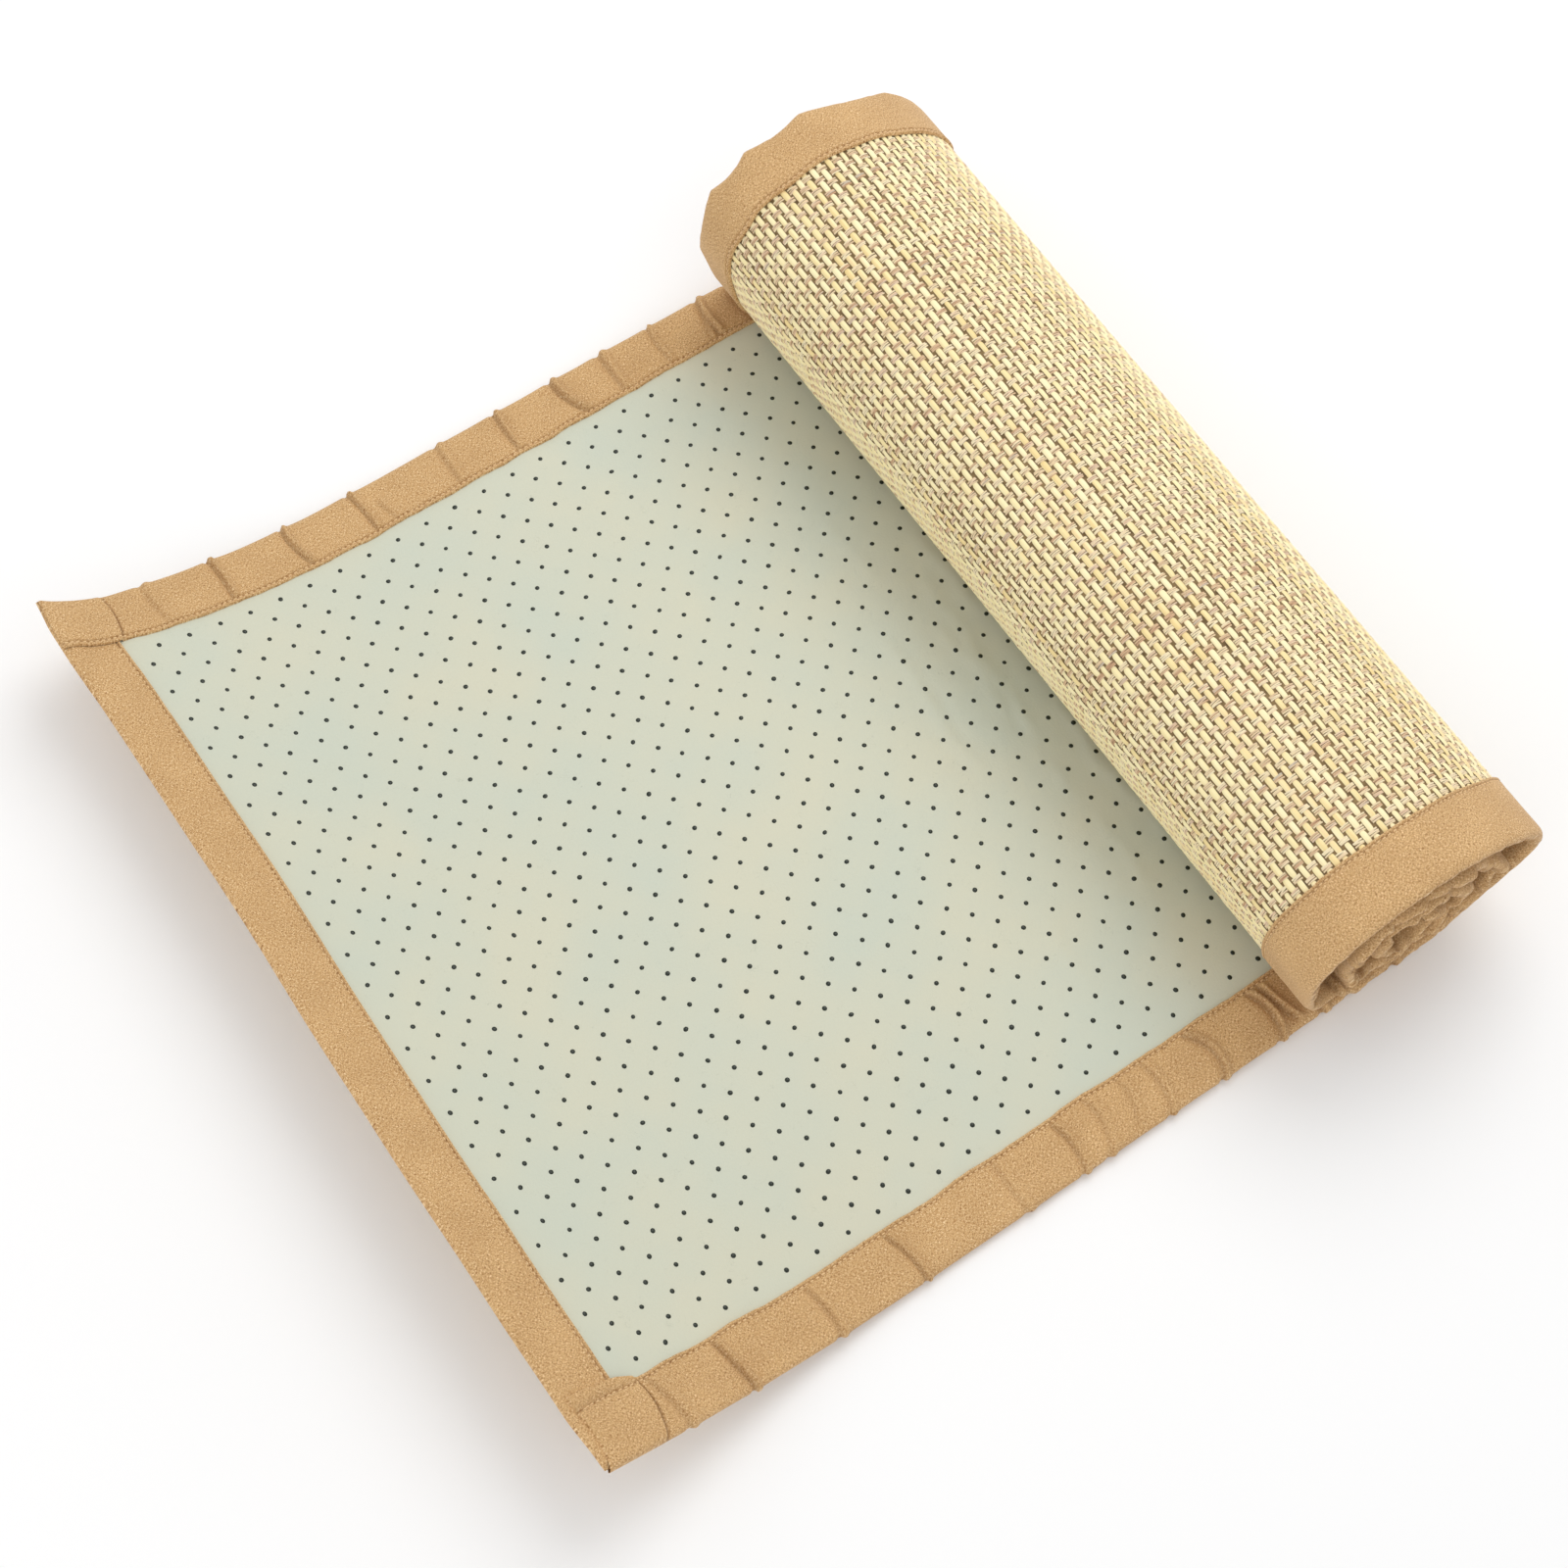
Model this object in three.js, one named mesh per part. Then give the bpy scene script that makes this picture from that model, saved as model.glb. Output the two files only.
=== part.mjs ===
// A straw-weave floor mat, partly rolled up. Millimetres, +Z up, standing on Z = 0.
// Every piece is made flat, as it is cut and sewn, and is then bent along the mat's own curve.
// Flat places are s, along the mat from its open end, y, across it, and h, above its middle plane.
import * as THREE from 'three';

// The flat mat
const MAT_WIDTH = 450;
const SIDE_TAPE = 29.5; // width of the tape that shows along a long edge
const END_TAPE = 28.5; // width of the tape that shows across an end
const WEAVE_THICK = 1.2;
const FELT_THICK = 1.0;
const TAPE_THICK = 1.0;
const CLEARANCE = 0.3; // between any two pieces
const EDGE_INSET = 2.5; // weave and felt stop this far inside the mat's edge

// Heights above the middle plane
const STACK_HALF = (WEAVE_THICK + CLEARANCE + FELT_THICK) / 2;
const TAPE_INNER = STACK_HALF + CLEARANCE;
const TAPE_OUTER = TAPE_INNER + TAPE_THICK;
const CAP_INNER = TAPE_OUTER + CLEARANCE; // where a side tape is turned over an end tape
const CAP_LENGTH = END_TAPE + 2;
const CAP_SLOPE = 5;
const FOLD_ROUND = 4; // a tape is thinned from here out to its fold

// The open end curls up off the floor, most at its tip
const CURL_ANGLE = THREE.MathUtils.degToRad(28);
const CURL_LENGTH = 192;
const CURL_LEAN = 4.2; // the near corner stands this much higher than the middle

// The flat stretch rises between its two long edges like a shallow arch
const FLAT_LENGTH = 417; // from the open end to where the sheet starts up into the roll
const ARCH_HEIGHT = 11;
const ARCH_MIDDLE = 208;
const ARCH_REACH = 292;
const ARCH_SWAY = 7; // the near half is a little fuller than the far half
const BOW = 0.25; // between the curl and the roll the long edges stand this far off the floor

// The roll: how far each turn of the sheet reaches, from outside to inside
const TURNS = [
  { right: 102, top: 101.5, left: -20, bottom: 0 },
  { right: 84, top: 85, left: 2, bottom: 7 },
  { right: 67, top: 65, left: 19.5, bottom: 14 },
  { right: 54, top: 46, left: 35, bottom: 22.6 },
];
const TURNS_WOUND = 3.5;
const ROLL_LEAN = THREE.MathUtils.degToRad(5.2);
// The sagging roll is cut in at its lower right and full at its lower left
const SAG = [
  { quarter: 'lower right', out: -5.5, x: 1, z: -1 },
  { quarter: 'upper right', out: -1.5, x: 1, z: 1 },
  { quarter: 'upper left', out: 0, x: -1, z: 1 },
  { quarter: 'lower left', out: 7, x: -1, z: -1 },
];
const ROLL_TAPER = 0.00011; // the far end stands higher, for each millimetre across
const TAPER_TURN = 0.35; // and fully so from this turn on
const OUT_OF_SQUARE = -0.0113; // the open end and the roll sit a little askew to the long edges

// Where the tapes are drawn into pleats, from the open end, along each long edge
const PLEATS = {
  near: [48, 82, 128, 168, 220, 250, 295, 324, 354],
  far: [58, 88, 128, 160, 210, 240, 272, 300, 355],
};
const ROLL_PLEAT_PITCH = 38; // inside the roll they follow at about this pitch
const PUFF = 0.9; // the tape stands this much prouder between two pleats
const DRAW_IN = 0.45; // and the pleat pulls the edge in this much

// How finely the sheet is bent
const SPINE_STEP = 0.5;
const SPINE_TURN_STEP = 0.002;
const FLAT_STEPS = 26;
const TURN_STEPS = [24, 20, 16, 12];
const TAPE_STEPS = 2; // steps of a tape's flat stretch to one of the sheet's
const CLOSEST = 2; // no two stations lie nearer than this
const ARCH_STATIONS = [-1, -0.8, -0.45, 0, 0.45, 0.8, 1]; // shares of the way from the middle to a side tape

const SEAM = MAT_WIDTH / 2 - SIDE_TAPE; // where a side tape's inner edge lies
const LAYER_EDGE = MAT_WIDTH / 2 - EDGE_INSET;
const widthStations = [-LAYER_EDGE, ...ARCH_STATIONS.map((share) => share * SEAM), LAYER_EDGE];
const WIDTH_STEPS = widthStations.length - 1;

const smooth = (t) => THREE.MathUtils.smoothstep(t, 0, 1);

// A smooth value through the rows of one column of TURNS, at a fractional row
function turnValue(column, row) {
  const last = TURNS.length - 1;
  const at = (i) => {
    if (i < 0) return 2 * TURNS[0][column] - TURNS[1][column];
    if (i > last) return 2 * TURNS[last][column] - TURNS[last - 1][column];
    return TURNS[i][column];
  };
  const held = THREE.MathUtils.clamp(row, -1, last);
  const i = Math.min(Math.floor(held), last - 1);
  const f = held - i;
  const [a, b, c, d] = [at(i - 1), at(i), at(i + 1), at(i + 2)];
  return b + 0.5 * f * (c - a + f * (2 * a - 5 * b + 4 * c - d + f * (3 * (b - c) + d - a)));
}

// The roll's section at a number of turns from where the sheet leaves the floor
function rollPoint(turn) {
  const angle = 2 * Math.PI * turn;
  const right = turnValue('right', turn - 0.25);
  const top = turnValue('top', turn - 0.5);
  const left = turnValue('left', turn - 0.75);
  const bottom = turnValue('bottom', turn);
  const sag = SAG[Math.floor(4 * turn + 1e-9) % 4];
  const size = (right - left) / (TURNS[0].right - TURNS[0].left);
  const out = sag.out * size * Math.sin(2 * angle) ** 2;
  return {
    x: (right + left) / 2 + ((right - left) / 2) * Math.sin(angle + ROLL_LEAN) + sag.x * out,
    z: (top + bottom) / 2 - ((top - bottom) / 2) * Math.cos(angle) + sag.z * out,
  };
}

// The slope of the curled end, full at its tip and nothing where it meets the floor
const curlSlope = (s) => CURL_ANGLE * (1 - smooth(s / CURL_LENGTH));

// The slight rise between the two lines that the mat rests on: where the curl ends and the roll starts
const bowAt = (s) => {
  const t = THREE.MathUtils.clamp((s - CURL_LENGTH) / (FLAT_LENGTH - CURL_LENGTH), 0, 1);
  return BOW * Math.sin(Math.PI * t) ** 2;
};

// The curve that the mat's middle line follows, as points with their distance from the open end
function makeSpine() {
  const start = rollPoint(0);
  const points = [{ s: FLAT_LENGTH, x: start.x, z: start.z, turn: 0 }];
  for (let s = FLAT_LENGTH - SPINE_STEP; s > -SPINE_STEP / 2; s -= SPINE_STEP) {
    const slope = curlSlope(s + SPINE_STEP / 2);
    const next = points[0];
    points.unshift({
      s,
      x: next.x - SPINE_STEP * Math.cos(slope),
      z: next.z + SPINE_STEP * Math.sin(slope),
      turn: 0,
    });
  }
  for (let turn = SPINE_TURN_STEP; turn < TURNS_WOUND + SPINE_TURN_STEP / 2; turn += SPINE_TURN_STEP) {
    const { x, z } = rollPoint(turn);
    const last = points[points.length - 1];
    points.push({ s: last.s + Math.hypot(x - last.x, z - last.z), x, z, turn });
  }
  return points;
}

const spine = makeSpine();
const MAT_LENGTH = spine[spine.length - 1].s;

// The spine point next before a distance, found by halving
function spineIndex(s) {
  let low = 0;
  let high = spine.length - 2;
  while (low < high) {
    const middle = Math.ceil((low + high) / 2);
    if (spine[middle].s <= s) low = middle;
    else high = middle - 1;
  }
  return low;
}

function spineAt(s) {
  const i = spineIndex(s);
  const a = spine[i];
  const b = spine[i + 1];
  const t = (s - a.s) / (b.s - a.s);
  return {
    x: THREE.MathUtils.lerp(a.x, b.x, t),
    z: THREE.MathUtils.lerp(a.z, b.z, t),
    turn: THREE.MathUtils.lerp(a.turn, b.turn, THREE.MathUtils.clamp(t, 0, 1)),
  };
}

// Takes a place on the flat mat to where it lies
function rolled(s, y, h) {
  const reach = 1; // the sheet's direction is taken over this far to each side
  const here = spineAt(s);
  const before = spineAt(Math.max(s - reach, 0));
  const after = spineAt(Math.min(s + reach, MAT_LENGTH));
  const along = Math.hypot(after.x - before.x, after.z - before.z);
  const across = y / (MAT_WIDTH / 2);
  const arched = THREE.MathUtils.clamp(y / SEAM, -1, 1);
  const archFade = 1 - smooth(Math.abs(s - ARCH_MIDDLE) / ARCH_REACH);
  const arch = ARCH_HEIGHT * (1 - arched ** 2) + ARCH_SWAY * (arched ** 3 - arched);
  const curlFade = THREE.MathUtils.clamp(1 - s / CURL_LENGTH, 0, 1) ** 2;
  const x = here.x - ((after.z - before.z) / along) * h;
  const lift = archFade * arch + bowAt(s) - CURL_LEAN * across * curlFade;
  const z = here.z + ((after.x - before.x) / along) * h + lift;
  const taper = 1 + ROLL_TAPER * y * smooth(here.turn / TAPER_TURN);
  return new THREE.Vector3(x + OUT_OF_SQUARE * y, y, (z + TAPE_OUTER) * taper);
}

// The stations where the sheet bends: even on the curl and flat stretch, by angle on the roll
function makeStations() {
  const stations = [];
  const capStart = MAT_LENGTH - CAP_LENGTH;
  const foldStart = MAT_LENGTH - FOLD_ROUND;
  for (let i = 0; i < FLAT_STEPS; i += 1) stations.push((FLAT_LENGTH * i) / FLAT_STEPS);
  TURN_STEPS.forEach((steps, turn) => {
    for (let i = 0; i < steps; i += 1) {
      const wound = turn + i / steps;
      const s = spine.find((point) => point.turn >= wound && point.s >= FLAT_LENGTH)?.s ?? MAT_LENGTH;
      const beforeCap = s < capStart - CAP_SLOPE - CLOSEST;
      const insideCap = s > capStart + CLOSEST && s < foldStart - CLOSEST;
      if (beforeCap || insideCap) stations.push(s);
    }
  });
  stations.push(capStart - CAP_SLOPE, capStart, foldStart, MAT_LENGTH);
  return stations.sort((a, b) => a - b);
}

const stations = makeStations();
const flatStations = stations.filter((s) => s < FLAT_LENGTH);

// Stations between two distances, with both ends in
function stationsBetween(from, to) {
  return [from, ...stations.filter((s) => s > from + CLOSEST && s < to - CLOSEST), to];
}

// A tape's stations: its flat stretch is stepped more finely, for the pleats
function tapeStations() {
  const fine = [];
  flatStations.forEach((s, i) => {
    const next = flatStations[i + 1] ?? FLAT_LENGTH;
    for (let k = 0; k < TAPE_STEPS; k += 1) fine.push(s + ((next - s) * k) / TAPE_STEPS);
  });
  const capEnds = [CAP_LENGTH, CAP_LENGTH + CAP_SLOPE];
  const kept = [...fine, ...stations.filter((s) => s >= FLAT_LENGTH)].filter((s) =>
    capEnds.every((end) => Math.abs(s - end) > CLOSEST),
  );
  return [...kept, ...capEnds].sort((a, b) => a - b);
}

// Moves every corner of a geometry, and leaves only its positions
function bend(geometry, move) {
  const position = geometry.getAttribute('position');
  for (let i = 0; i < position.count; i += 1) {
    const place = move(position.getX(i), position.getY(i), position.getZ(i));
    position.setXYZ(i, place.x, place.y, place.z);
  }
  geometry.deleteAttribute('normal');
  geometry.deleteAttribute('uv');
  return geometry;
}

function cloth(color, roughness) {
  return new THREE.MeshStandardMaterial({ color, roughness, metalness: 0, side: THREE.FrontSide });
}

const straw = cloth(0xe2cf9b, 0.62);
straw.name = 'straw weave';
const felt = cloth(0xd5d8c6, 0.9);
felt.name = 'dotted felt';
const tape = cloth(0xcfa46e, 0.85);
tape.name = 'tan tape';

function piece(name, geometry, material) {
  const mesh = new THREE.Mesh(geometry, material);
  mesh.name = name;
  return mesh;
}

// A layer of the mat: a flat slab from one height to another, bent at the stations.
// One of the two is made from its other end, so that the faces that meet are split alike.
function layer(name, low, high, fromCore, material) {
  const along = stationsBetween(EDGE_INSET, MAT_LENGTH - EDGE_INSET);
  if (fromCore) along.reverse();
  const steps = along.length - 1;
  const slab = new THREE.BoxGeometry(steps, WIDTH_STEPS, high - low, steps, WIDTH_STEPS, 1);
  const middle = (low + high) / 2;
  bend(slab, (x, y, z) =>
    rolled(along[Math.round(x + steps / 2)], widthStations[Math.round(y + WIDTH_STEPS / 2)], z + middle),
  );
  return piece(name, fromCore ? reversed(slab) : slab, material);
}

// How far a place along a tape is from a pleat: 0 in the pleat, 1 midway between two
function betweenPleats(pleats, s) {
  const next = pleats.findIndex((at) => at > s);
  if (next < 1) return 0;
  const t = (s - pleats[next - 1]) / (pleats[next] - pleats[next - 1]);
  return Math.sin(Math.PI * t);
}

function allPleats(side) {
  const pleats = [0, ...PLEATS[side]];
  while (pleats[pleats.length - 1] < MAT_LENGTH - ROLL_PLEAT_PITCH) {
    pleats.push(pleats[pleats.length - 1] + ROLL_PLEAT_PITCH);
  }
  return [...pleats, MAT_LENGTH];
}

// A folded tape's section: how far in from the mat's edge, and the share of its half thickness
function foldedSection(width) {
  const edge = EDGE_INSET - CLEARANCE;
  return [
    { inset: width, level: 1, inner: false },
    { inset: width / 2, level: 1, inner: false },
    { inset: FOLD_ROUND, level: 0.96, inner: false },
    { inset: 0.5, level: 0.7, inner: false },
    { inset: 0.5, level: -0.7, inner: false },
    { inset: FOLD_ROUND, level: -1, inner: false },
    { inset: width, level: -1, inner: false },
    { inset: width, level: -1, inner: true },
    { inset: edge, level: -1, inner: true },
    { inset: edge, level: 1, inner: true },
    { inset: width, level: 1, inner: true },
  ];
}

// The height of a section's row, where the tape is raised by so much
const heightOf = ({ level, inner }, rise) => level * ((inner ? TAPE_INNER : TAPE_OUTER) + rise);

// Sweeps a section along a number of steps. It is drawn as it lies at its ends, where the sweep is closed,
// and laid(row, step) then gives the place of each corner.
function sweep(section, drawn, steps, laid) {
  const corners = section.map(drawn);
  const body = new THREE.ExtrudeGeometry(new THREE.Shape(corners), { depth: steps, steps, bevelEnabled: false });
  return bend(body, (x, y, z) => {
    const row = corners.findIndex((corner) => Math.hypot(corner.x - x, corner.y - y) < 1e-3);
    return laid(section[row], Math.round(z));
  });
}

// How thick a side tape stands: it is raised at both ends, where it covers the end tapes
function capRise(s) {
  const fromEnd = Math.min(s, MAT_LENGTH - s);
  return (CAP_INNER - TAPE_INNER) * (1 - smooth((fromEnd - CAP_LENGTH) / CAP_SLOPE));
}

function sideTape(name, side, sign) {
  const along = tapeStations();
  const steps = along.length - 1;
  const section = foldedSection(SIDE_TAPE);
  const pleats = allPleats(side);
  const drawn = (row) => new THREE.Vector2(row.inset, heightOf(row, capRise(0)));
  const body = sweep(section, drawn, steps, (row, step) => {
    const { inset, level, inner } = row;
    const s = along[step];
    const puff = betweenPleats(pleats, s);
    const upward = level > 0 && !inner && inset < SIDE_TAPE ? PUFF * puff : 0;
    const pulled = inner || inset > FOLD_ROUND || capRise(s) > 0 ? 0 : DRAW_IN * (1 - puff);
    return rolled(s, sign * (MAT_WIDTH / 2 - inset - pulled), heightOf(row, capRise(s)) + upward);
  });
  return piece(name, sign > 0 ? reversed(body) : body, tape);
}

// Turns every face of a geometry round
function reversed(geometry) {
  const flat = geometry.index ? geometry.toNonIndexed() : geometry;
  const position = flat.getAttribute('position');
  const held = new THREE.Vector3();
  const other = new THREE.Vector3();
  for (let i = 0; i < position.count; i += 3) {
    held.fromBufferAttribute(position, i + 1);
    other.fromBufferAttribute(position, i + 2);
    position.setXYZ(i + 1, other.x, other.y, other.z);
    position.setXYZ(i + 2, held.x, held.y, held.z);
  }
  return flat;
}

// A tape folded round an end of the mat, with extra rows where the sheet bends under it
function endTape(name, atCore) {
  const fromEnd = (s) => (atCore ? MAT_LENGTH - s : s);
  const bends = stations
    .map(fromEnd)
    .filter((inset) => inset > FOLD_ROUND + 1 && inset < END_TAPE - 1)
    .sort((a, b) => a - b);
  const inward = (level, inner) => bends.map((inset) => ({ inset, level, inner }));
  const plain = foldedSection(END_TAPE).filter(({ inset }) => inset !== END_TAPE / 2);
  const section = [
    plain[0],
    ...inward(1, false).reverse(),
    ...plain.slice(1, 5),
    ...inward(-1, false),
    ...plain.slice(5, 7),
    ...inward(-1, true).reverse(),
    ...plain.slice(7, 9),
    ...inward(1, true),
    plain[9],
  ];
  const laid = (row, step) => rolled(fromEnd(row.inset), widthStations[step], heightOf(row, 0));
  const drawn = (row) => {
    const { x, z } = laid(row, 0);
    return new THREE.Vector2(x, z);
  };
  return piece(name, reversed(sweep(section, drawn, WIDTH_STEPS, laid)), tape);
}

const mat = new THREE.Group();
mat.add(
  layer('woven_face', -STACK_HALF, -STACK_HALF + WEAVE_THICK, false, straw),
  layer('felt_backing', STACK_HALF - FELT_THICK, STACK_HALF, true, felt),
  sideTape('side_binding_near', 'near', -1),
  sideTape('side_binding_far', 'far', 1),
  endTape('end_binding_open', false),
  endTape('end_binding_core', true),
);

// The mat's middle, seen from above, is the origin
const box = new THREE.Box3().setFromObject(mat);
mat.position.set(-(box.min.x + box.max.x) / 2, -(box.min.y + box.max.y) / 2, -box.min.z);

export default mat;
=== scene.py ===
# %% [markdown]
# # A straw-weave floor mat, partly rolled up
# The mat is two layers, a weave of bamboo sticks and a felt backing with grip dots, bound with tan tape.
# It lies with the felt up. One end is rolled, weave outside, and the other end curls up.
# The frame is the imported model: it gives the places and sizes, and this file gives the looks.

import bmesh
import bpy
import numpy as np
from mathutils import Matrix, Vector


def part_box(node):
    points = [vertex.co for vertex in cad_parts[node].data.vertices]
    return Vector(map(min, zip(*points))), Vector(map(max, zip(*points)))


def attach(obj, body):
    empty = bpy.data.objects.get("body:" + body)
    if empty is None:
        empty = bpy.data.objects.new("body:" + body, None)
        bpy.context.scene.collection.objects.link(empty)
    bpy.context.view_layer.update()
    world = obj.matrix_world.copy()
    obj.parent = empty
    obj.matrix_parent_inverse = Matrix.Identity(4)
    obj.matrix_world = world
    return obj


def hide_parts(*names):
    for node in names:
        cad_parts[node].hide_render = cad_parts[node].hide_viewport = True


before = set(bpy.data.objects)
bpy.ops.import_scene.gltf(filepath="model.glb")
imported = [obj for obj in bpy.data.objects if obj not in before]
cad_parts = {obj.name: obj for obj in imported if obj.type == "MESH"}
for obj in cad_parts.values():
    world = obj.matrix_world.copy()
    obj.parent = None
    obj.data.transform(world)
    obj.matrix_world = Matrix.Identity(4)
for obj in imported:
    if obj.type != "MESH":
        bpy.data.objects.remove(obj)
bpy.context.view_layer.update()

# %% [markdown]
# ## The curve that the mat follows
# A cloth that is bent but not stretched is easiest to make flat and then to lay on a curve. Each point
# gets three flat sizes: s along the mat from its open end, y across it and h above its middle plane.
# One function takes them to where the cloth lies, so every layer, stitch and stick bends alike.

# %% Sizes of the flat mat, in millimetres
MAT_WIDTH = 450
SIDE_TAPE = 29.5
END_TAPE = 28.5
EDGE_INSET = 2.5
LAYER_HALF = 1.25
TAPE_HALF = 2.55
SEAM = MAT_WIDTH / 2 - SIDE_TAPE
LAYER_EDGE = MAT_WIDTH / 2 - EDGE_INSET
# The felt and the weave stop well inside the tapes, which are drawn in here and there
SHEET_EDGE = 212
SHEET_START = 13
MM = 0.001

CURL_ANGLE = np.radians(28)
CURL_LENGTH = 192
CURL_LEAN = 4.2
FLAT_LENGTH = 417
ARCH_HEIGHT = 11
ARCH_MIDDLE = 208
ARCH_REACH = 292
ARCH_SWAY = 7
BOW = 0.25
# The far corner at the open end turns up and out. Both grow between two places across the mat.
CORNER_REACH = 36
CORNER_RISE = 6.0
RISE_ACROSS = (160, 220)
CORNER_FLARE = 4.6
FLARE_ACROSS = (190, 220)
# The far half of the flat part is pulled this far towards the roll. The pull grows between two places
# across the mat, and fades out between two places along it.
FAR_PULL = 2.5
PULL_ACROSS = (-60, 80)
PULL_ALONG = (450, 340)

# How far each turn of the roll reaches, from outside to inside
TURNS = {
    "right": [102, 84, 67, 54],
    "top": [101.5, 85, 65, 46],
    "left": [-20, 2, 19.5, 35],
    "bottom": [0, 7, 14, 22.6],
}
TURNS_WOUND = 3.5
ROLL_LEAN = np.radians(5.2)
ROLL_TAPER = 0.00011
TAPER_TURN = 0.35
OUT_OF_SQUARE = -0.0113
# Each quarter of a turn, how far it sags out and the way it goes in x and z
SAG = [(-5.5, 1, -1), (-1.5, 1, 1), (0, -1, 1), (7, -1, -1)]


# %% The roll's section
def smooth(t):
    """0 up to 0, 1 from 1 on and a soft way between."""
    t = np.clip(t, 0, 1)
    return t * t * (3 - 2 * t)


def fade(value, start, end):
    """0 at the start, 1 from the end on and a soft way between. The end may lie before the start."""
    return smooth((value - start) / (end - start))


def turn_value(column, row):
    """The reach between two turns, on a smooth curve through the values."""
    values = TURNS[column]
    last = len(values) - 1

    def at(i):
        if i < 0:
            return 2 * values[0] - values[1]
        if i > last:
            return 2 * values[last] - values[last - 1]
        return values[i]

    held = min(max(row, -1), last)
    i = min(int(np.floor(held)), last - 1)
    f = held - i
    a, b, c, d = at(i - 1), at(i), at(i + 1), at(i + 2)
    return b + 0.5 * f * (c - a + f * (2 * a - 5 * b + 4 * c - d + f * (3 * (b - c) + d - a)))


def roll_point(turn):
    """Where the curve is after so many turns: a flattened spiral, leaning and sagging a little."""
    angle = 2 * np.pi * turn
    right = turn_value("right", turn - 0.25)
    top = turn_value("top", turn - 0.5)
    left = turn_value("left", turn - 0.75)
    bottom = turn_value("bottom", turn)
    sag, way_x, way_z = SAG[int(np.floor(4 * turn + 1e-9)) % 4]
    size = (right - left) / (TURNS["right"][0] - TURNS["left"][0])
    out = sag * size * np.sin(2 * angle) ** 2
    x = (right + left) / 2 + (right - left) / 2 * np.sin(angle + ROLL_LEAN) + way_x * out
    z = (top + bottom) / 2 - (top - bottom) / 2 * np.cos(angle) + way_z * out
    return x, z


# %% The whole curve, from the open end to the roll's core
def make_spine(step=0.5, turn_step=0.002):
    x, z = roll_point(0)
    rows = [(FLAT_LENGTH, x, z, 0)]
    for s in np.arange(FLAT_LENGTH - step, -step / 2, -step):
        slope = CURL_ANGLE * (1 - smooth((s + step / 2) / CURL_LENGTH))
        x -= step * np.cos(slope)
        z += step * np.sin(slope)
        rows.insert(0, (s, x, z, 0))
    for turn in np.arange(turn_step, TURNS_WOUND + turn_step / 2, turn_step):
        x, z = roll_point(turn)
        s = rows[-1][0] + np.hypot(x - rows[-1][1], z - rows[-1][2])
        rows.append((s, x, z, turn))
    return np.array(rows).T


SPINE_S, SPINE_X, SPINE_Z, SPINE_TURN = make_spine()
MAT_LENGTH = SPINE_S[-1]
IN_ROLL = SPINE_S >= FLAT_LENGTH
print("mat length in mm:", round(MAT_LENGTH, 1))


def length_at(turn):
    """How far along the mat a turn of the roll is reached."""
    return np.interp(turn, SPINE_TURN[IN_ROLL], SPINE_S[IN_ROLL])


# %% From a flat place to where the cloth lies
def bent(s, y, h):
    """Where a flat place lies, before the shift that centres the frame."""
    s, y, h = np.broadcast_arrays(*(np.asarray(v, float) for v in (s, y, h)))
    reach = 1
    back, ahead = np.maximum(s - reach, 0), np.minimum(s + reach, MAT_LENGTH)
    run_x = np.interp(ahead, SPINE_S, SPINE_X) - np.interp(back, SPINE_S, SPINE_X)
    run_z = np.interp(ahead, SPINE_S, SPINE_Z) - np.interp(back, SPINE_S, SPINE_Z)
    run = np.hypot(run_x, run_z)
    across = y / (MAT_WIDTH / 2)
    arched = np.clip(y / SEAM, -1, 1)
    arch_share = 1 - smooth(abs(s - ARCH_MIDDLE) / ARCH_REACH)
    arch = ARCH_HEIGHT * (1 - arched**2) + ARCH_SWAY * (arched**3 - arched)
    lean = CURL_LEAN * across * np.clip(1 - s / CURL_LENGTH, 0, 1) ** 2
    bow = BOW * np.sin(np.pi * np.clip((s - CURL_LENGTH) / (FLAT_LENGTH - CURL_LENGTH), 0, 1)) ** 2
    # Past the open end the curve goes straight on
    past = np.minimum(s, 0)
    x = np.interp(s, SPINE_S, SPINE_X) + (run_x * past - run_z * h) / run
    z = np.interp(s, SPINE_S, SPINE_Z) + (run_z * past + run_x * h) / run + arch_share * arch + bow - lean
    tip = np.clip(1 - s / CORNER_REACH, 0, 1.1) ** 2
    z = z + CORNER_RISE * tip * fade(y, *RISE_ACROSS)
    flared = y + CORNER_FLARE * tip * fade(y, *FLARE_ACROSS)
    pulled = FAR_PULL * fade(y, *PULL_ACROSS) * fade(s, *PULL_ALONG)
    taper = 1 + ROLL_TAPER * y * smooth(np.interp(s, SPINE_S, SPINE_TURN) / TAPER_TURN)
    return np.stack([x + OUT_OF_SQUARE * y + pulled, flared, (z + TAPE_HALF) * taper], axis=-1)


# The frame is centred on its own box: the open end's corner, before the pull, tells how far it was moved
corner = bent(0.5, LAYER_EDGE, np.array([-0.5, 0.5]) * TAPE_HALF)
FRAME_SHIFT = np.array([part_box("end_binding_open")[0][0] / MM - corner[:, 0].min() + FAR_PULL, 0, 0])
print("frame shift in mm:", FRAME_SHIFT.round(2))


def place(s, y, h):
    """Where a flat place lies in the scene, in metres."""
    return (bent(s, y, h) + FRAME_SHIFT) * MM


# %% [markdown]
# ## Camera, floor and light
# The camera stands where the photograph was taken from: above the near corner, looking down at about
# 66 degrees. The light is that of a product photograph: bright, white and soft from all round, with a
# little more from the right, so the left flank of the roll is the darkest part. A weak light that stands
# low on the left keeps that flank from going too dark.

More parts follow.
